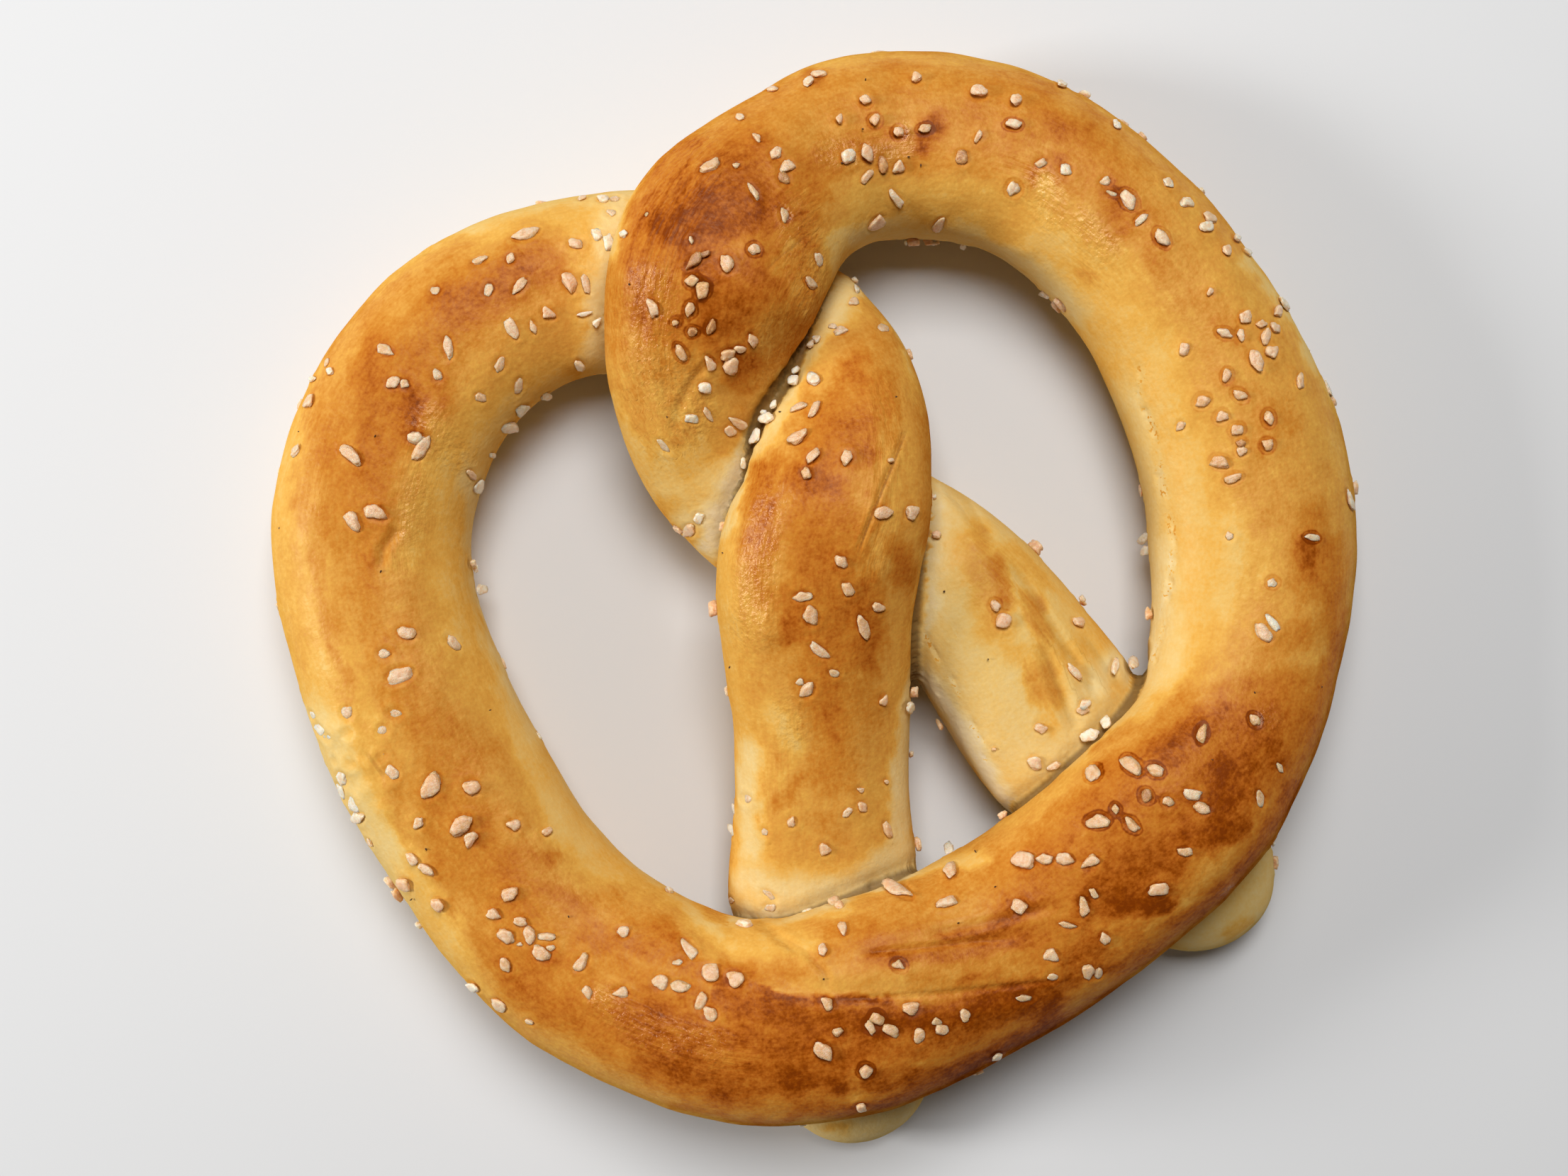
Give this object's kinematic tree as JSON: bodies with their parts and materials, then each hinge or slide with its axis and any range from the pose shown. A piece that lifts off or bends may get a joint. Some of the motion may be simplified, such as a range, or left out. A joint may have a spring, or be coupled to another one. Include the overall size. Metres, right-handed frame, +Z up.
{
  "type": "soft pretzel",
  "caption": "Baked soft pretzel: one thick rope of dough in two lobes with a twist, its tails tucked under the belly, lying on a flat base.",
  "frame": {"origin": "middle of the flat underside's bounding box, on the surface the pretzel lies on", "axes": "+Z up; +X across the two lobes, towards the right-hand lobe seen from above; +Y from the belly towards the lobes' tops"},
  "size_m": [0.1498, 0.1437, 0.0325],
  "materials": {
    "crust": "satin"
  },
  "bodies": {
    "root": {"pretzel": "crust"}
  },
  "joints": []
}
